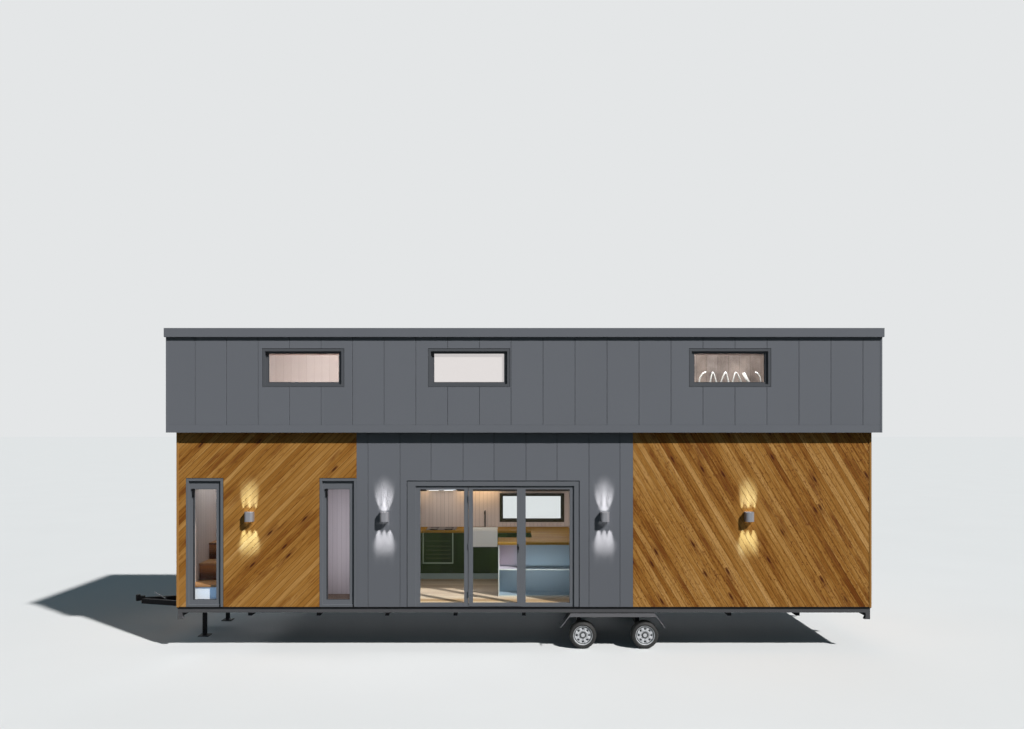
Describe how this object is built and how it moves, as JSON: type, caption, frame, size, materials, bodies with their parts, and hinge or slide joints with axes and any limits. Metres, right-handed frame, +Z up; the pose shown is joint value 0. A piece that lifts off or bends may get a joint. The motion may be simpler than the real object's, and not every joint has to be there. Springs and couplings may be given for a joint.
{
  "type": "tiny house on wheels",
  "caption": "Long tiny house on a twin-axle trailer, with timber and grey panel walls, an overhanging loft storey, a flat roof, tall windows and a glazed front door.",
  "frame": {"origin": "on the ground, in the middle of the whole outline from the coupling to the roof's far edge", "axes": "+X along the house away from the drawbar, +Y from the glazed front to the back, +Z up"},
  "size_m": [12.49, 3.22, 5.09],
  "materials": {
    "black_steel": "satin black paint",
    "rail_steel": "satin grey paint",
    "lever_steel": "galvanised",
    "tyre": "matte",
    "rim": "machined",
    "floor_boards": "matte oil",
    "lining": "matte white stain",
    "timber": "oiled, matte",
    "grey_panel": "matte grey",
    "window_frame": "powder coated, matte",
    "glass": "clear",
    "handle": "satin black",
    "lamp": "powder coated",
    "cabinet": "satin dark green paint",
    "shelf": "satin pale paint",
    "worktop": "oiled",
    "sink": "gloss",
    "stair_wood": "oiled"
  },
  "bodies": {
    "house": {"main_beams": "black_steel", "crossmembers": "black_steel", "side_rails": "rail_steel", "end_rails": "rail_steel", "corner_brackets": "rail_steel", "drawbar": "black_steel", "coupling_head": "black_steel", "nose_legs": "black_steel", "mudguards": "rail_steel", "axles": "black_steel", "floor_deck": "floor_boards", "front_wall_left": "lining", "front_wall_over_door": "lining", "front_wall_right": "lining", "back_wall": "lining", "end_walls": "lining", "timber_left": "timber", "timber_right": "timber", "panels_centre": "grey_panel", "timber_back": "timber", "panels_back": "grey_panel", "timber_ends": "timber", "loft_floor": "grey_panel", "loft_wall_front": "lining", "loft_wall_back": "lining", "loft_walls_end": "lining", "loft_panels_front": "grey_panel", "loft_panels_back": "grey_panel", "loft_panels_end": "grey_panel", "roof_deck": "lining", "roof_cap": "grey_panel", "window_frames": "window_frame", "window_glass": "glass", "door_frame": "window_frame", "sidelights": "window_frame", "hinge_pins": "handle", "wall_lamps": "lamp", "kitchen_units": "cabinet", "over_shelf": "cabinet", "bar_shelves": "shelf", "worktop": "worktop", "sink": "sink", "tap": "handle", "range_hood": "lever_steel", "stair": "stair_wood", "partition": "lining"},
    "door": {"door_leaf": "window_frame", "door_glass": "glass", "door_handle": "handle"},
    "brake": {"brake_lever": "lever_steel"},
    "wheel_front_fore": {"tyre_front_fore": "tyre", "rim_front_fore": "rim"},
    "wheel_front_aft": {"tyre_front_aft": "tyre", "rim_front_aft": "rim"},
    "wheel_back_fore": {"tyre_back_fore": "tyre", "rim_back_fore": "rim"},
    "wheel_back_aft": {"tyre_back_aft": "tyre", "rim_back_aft": "rim"}
  },
  "joints": [
    {"name": "door_hinge", "type": "hinge", "parent": "house", "child": "door", "pos_m": [-0.2845, -1.43, 1.64], "axis": [0, 0, -1], "range_deg": [0, 100]},
    {"name": "brake_lever_pivot", "type": "hinge", "parent": "house", "child": "brake", "pos_m": [-5.705, 0, 0.498], "axis": [0, 1, 0], "range_deg": [0, 40]},
    {"name": "axle_front_fore", "type": "hinge", "parent": "house", "child": "wheel_front_fore", "pos_m": [1.536, -1.3125, 0.215], "axis": [0, 1, 0], "continuous": true},
    {"name": "axle_front_aft", "type": "hinge", "parent": "house", "child": "wheel_front_aft", "pos_m": [2.528, -1.3125, 0.215], "axis": [0, 1, 0], "continuous": true},
    {"name": "axle_back_fore", "type": "hinge", "parent": "house", "child": "wheel_back_fore", "pos_m": [1.536, 1.3125, 0.215], "axis": [0, 1, 0], "continuous": true},
    {"name": "axle_back_aft", "type": "hinge", "parent": "house", "child": "wheel_back_aft", "pos_m": [2.528, 1.3125, 0.215], "axis": [0, 1, 0], "continuous": true}
  ]
}
